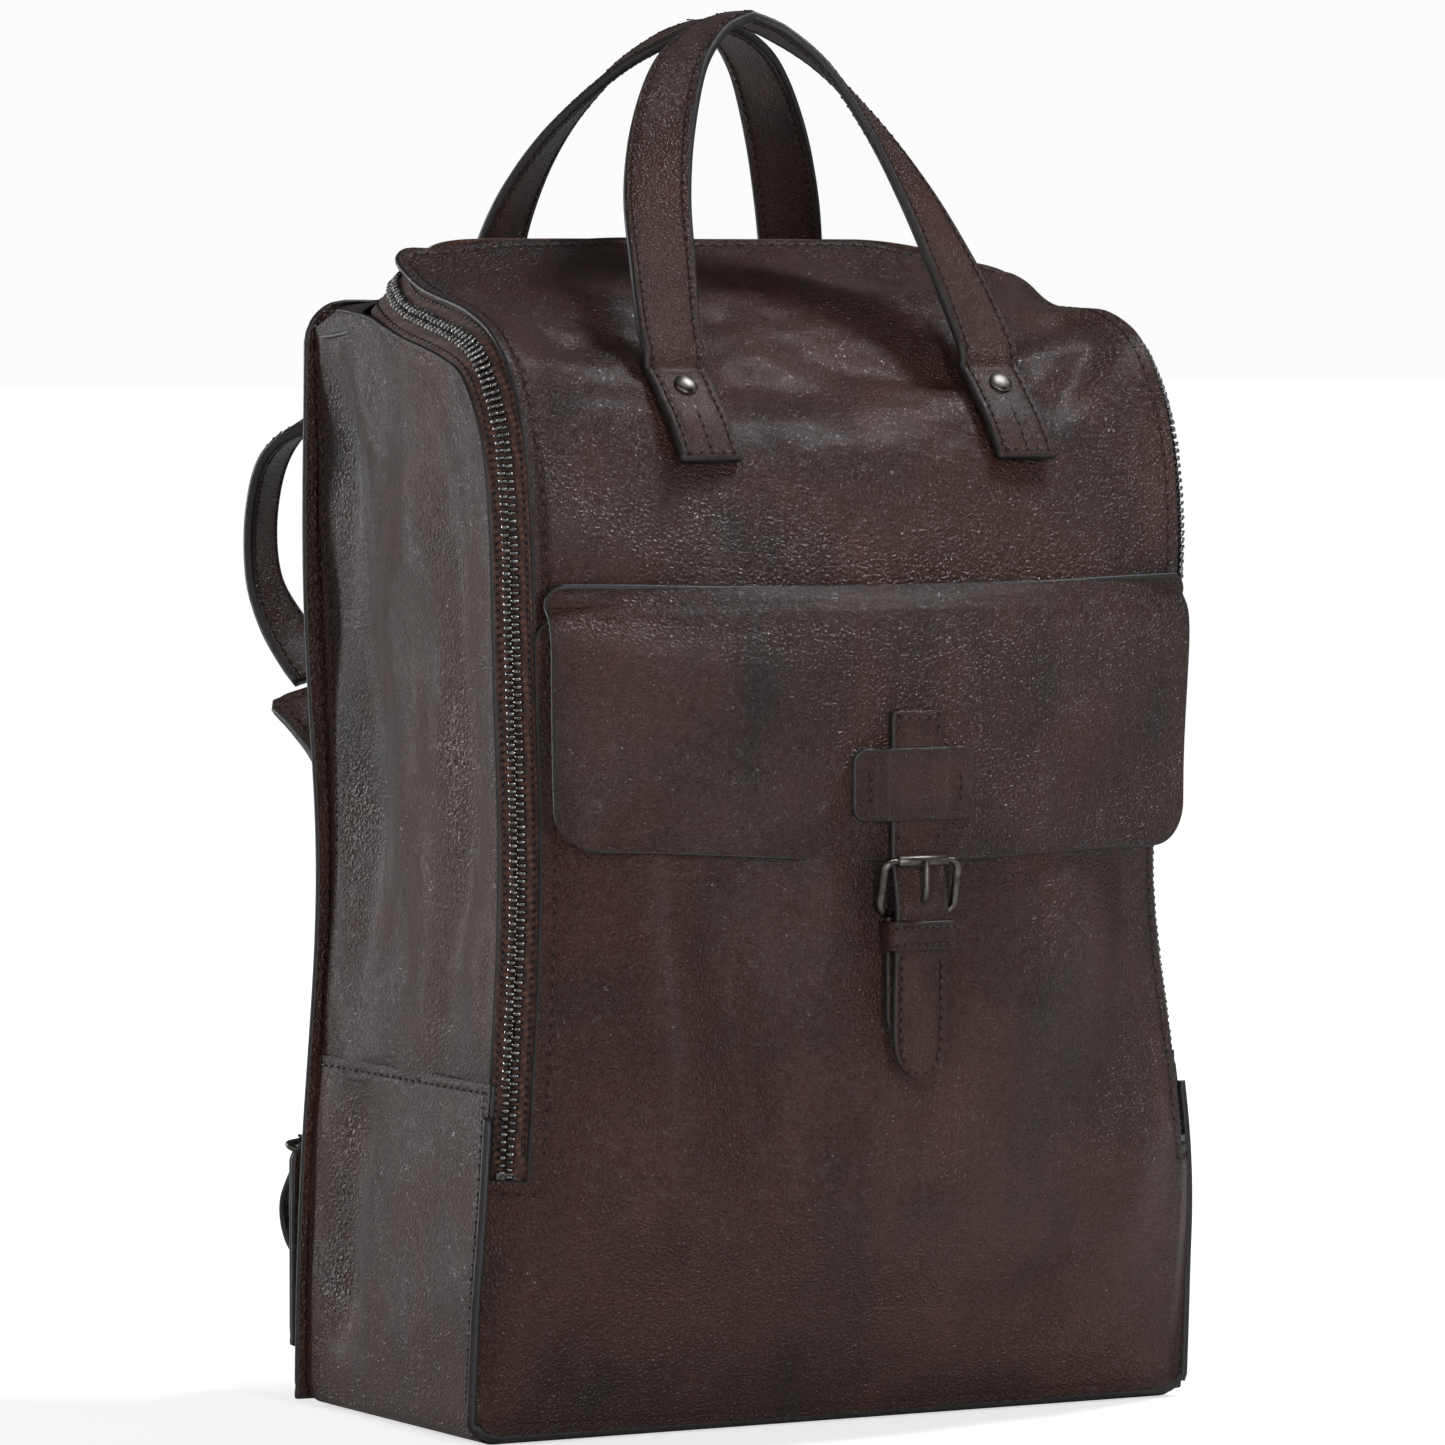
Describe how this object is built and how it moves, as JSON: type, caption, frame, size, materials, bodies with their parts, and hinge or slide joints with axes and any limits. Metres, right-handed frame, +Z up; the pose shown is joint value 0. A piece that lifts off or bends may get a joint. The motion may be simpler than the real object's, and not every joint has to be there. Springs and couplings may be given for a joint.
{
  "type": "leather backpack",
  "caption": "Upright leather backpack with a zipped drop-front lid, a buckled pocket flap, two arched carry handles and padded shoulder straps.",
  "frame": {"origin": "middle of the base, on the surface that the bag stands on", "axes": "+Z up, the front with the pocket faces -Y, +X to the right of a person looking at the front"},
  "size_m": [0.3058, 0.3036, 0.519],
  "materials": {
    "leather": "pull-up cowhide, semi-gloss",
    "strap_leather": "doubled cowhide, stitched",
    "padding": "foam and board",
    "lining": "cotton twill",
    "zip_tape": "woven polyester",
    "zip_metal": "antique nickel",
    "buckle_metal": "antique pewter"
  },
  "bodies": {
    "bag_body": {"back_panel": "leather", "back_padding": "padding", "side_panel_left": "leather", "side_panel_right": "leather", "top_rear_strip": "leather", "base_gusset": "leather", "base_board": "padding", "front_panel_lower": "leather", "main_lining": "lining", "laptop_sleeve": "lining", "zip_tape_rear": "zip_tape", "zip_teeth_rear": "zip_metal", "zip_end_stops": "zip_metal", "rear_handle_tabs": "strap_leather", "rear_handle_rivets": "buckle_metal", "strap_yoke": "strap_leather", "upper_strap_left": "strap_leather", "upper_strap_right": "strap_leather", "shoulder_pad_left": "leather", "shoulder_pad_right": "leather", "lower_strap_left": "strap_leather", "lower_strap_right": "strap_leather", "strap_anchor_left": "strap_leather", "strap_anchor_right": "strap_leather", "strap_buckle_left": "buckle_metal", "strap_buckle_right": "buckle_metal"},
    "front_lid": {"front_panel": "leather", "pocket_panel": "leather", "lid_lining": "lining", "zip_tape_front": "zip_tape", "zip_teeth_front": "zip_metal", "front_handle_tabs": "strap_leather", "front_handle_rivets": "buckle_metal", "snap_socket": "buckle_metal"},
    "flap": {"pocket_flap": "leather", "flap_strap": "strap_leather", "flap_cross_tab": "strap_leather", "buckle_frame": "buckle_metal", "buckle_chape": "strap_leather", "flap_keeper": "strap_leather", "snap_stud": "buckle_metal"},
    "buckle_roller": {"buckle_roller": "buckle_metal"},
    "buckle_prong": {"buckle_prong": "buckle_metal"},
    "front_handle": {"front_handle": "strap_leather"},
    "rear_handle": {"rear_handle": "strap_leather"},
    "slider_left": {"zip_slider_left": "zip_metal"},
    "slider_right": {"zip_slider_right": "zip_metal"},
    "pull_left": {"zip_pull_left": "zip_metal"},
    "pull_right": {"zip_pull_right": "zip_metal"},
    "strap_prong_left": {"strap_prong_left": "buckle_metal"},
    "strap_prong_right": {"strap_prong_right": "buckle_metal"}
  },
  "joints": [
    {"name": "lid_open", "type": "hinge", "parent": "bag_body", "child": "front_lid", "pos_m": [0, -0.1195, 0.097], "axis": [1, 0, 0], "range_deg": [0, 70], "deforming": ["zip_tape_front", "zip_teeth_front"]},
    {"name": "flap_open", "type": "hinge", "parent": "front_lid", "child": "flap", "pos_m": [0, -0.112, 0.309], "axis": [-1, 0, 0], "range_deg": [0, 92]},
    {"name": "roller_spin", "type": "hinge", "parent": "flap", "child": "buckle_roller", "pos_m": [0, -0.1315, 0.21], "axis": [1, 0, 0], "continuous": true},
    {"name": "prong_swing", "type": "hinge", "parent": "flap", "child": "buckle_prong", "pos_m": [0, -0.1269, 0.191], "axis": [1, 0, 0], "range_deg": [0, 45]},
    {"name": "front_handle_swing", "type": "hinge", "parent": "front_lid", "child": "front_handle", "pos_m": [0, -0.0655, 0.393], "axis": [1, 0, 0], "range_deg": [0, 95]},
    {"name": "rear_handle_swing", "type": "hinge", "parent": "bag_body", "child": "rear_handle", "pos_m": [0, 0.0713, 0.3885], "axis": [-1, 0, 0], "range_deg": [0, 85]},
    {"name": "slider_left_run", "type": "slide", "parent": "bag_body", "child": "slider_left", "axis": [-1, 0, 0], "range_m": [0, 0.085], "deforming": ["zip_tape_front", "zip_teeth_front", "zip_tape_rear", "zip_teeth_rear"]},
    {"name": "slider_right_run", "type": "slide", "parent": "bag_body", "child": "slider_right", "axis": [1, 0, 0], "range_m": [0, 0.085], "deforming": ["zip_tape_front", "zip_teeth_front", "zip_tape_rear", "zip_teeth_rear"]},
    {"name": "pull_left_swing", "type": "hinge", "parent": "slider_left", "child": "pull_left", "pos_m": [-0.0095, 0.03731, 0.42602], "axis": [1, 0, 0], "range_deg": [0, 60]},
    {"name": "pull_right_swing", "type": "hinge", "parent": "slider_right", "child": "pull_right", "pos_m": [0.0095, 0.03731, 0.42602], "axis": [1, 0, 0], "range_deg": [0, 60]},
    {"name": "strap_prong_left_swing", "type": "hinge", "parent": "bag_body", "child": "strap_prong_left", "pos_m": [-0.1243, 0.0944, 0.08775], "axis": [0.766, 0.6428, 0], "range_deg": [0, 40]},
    {"name": "strap_prong_right_swing", "type": "hinge", "parent": "bag_body", "child": "strap_prong_right", "pos_m": [0.1243, 0.0944, 0.08775], "axis": [0.766, -0.6428, 0], "range_deg": [0, 40]}
  ]
}
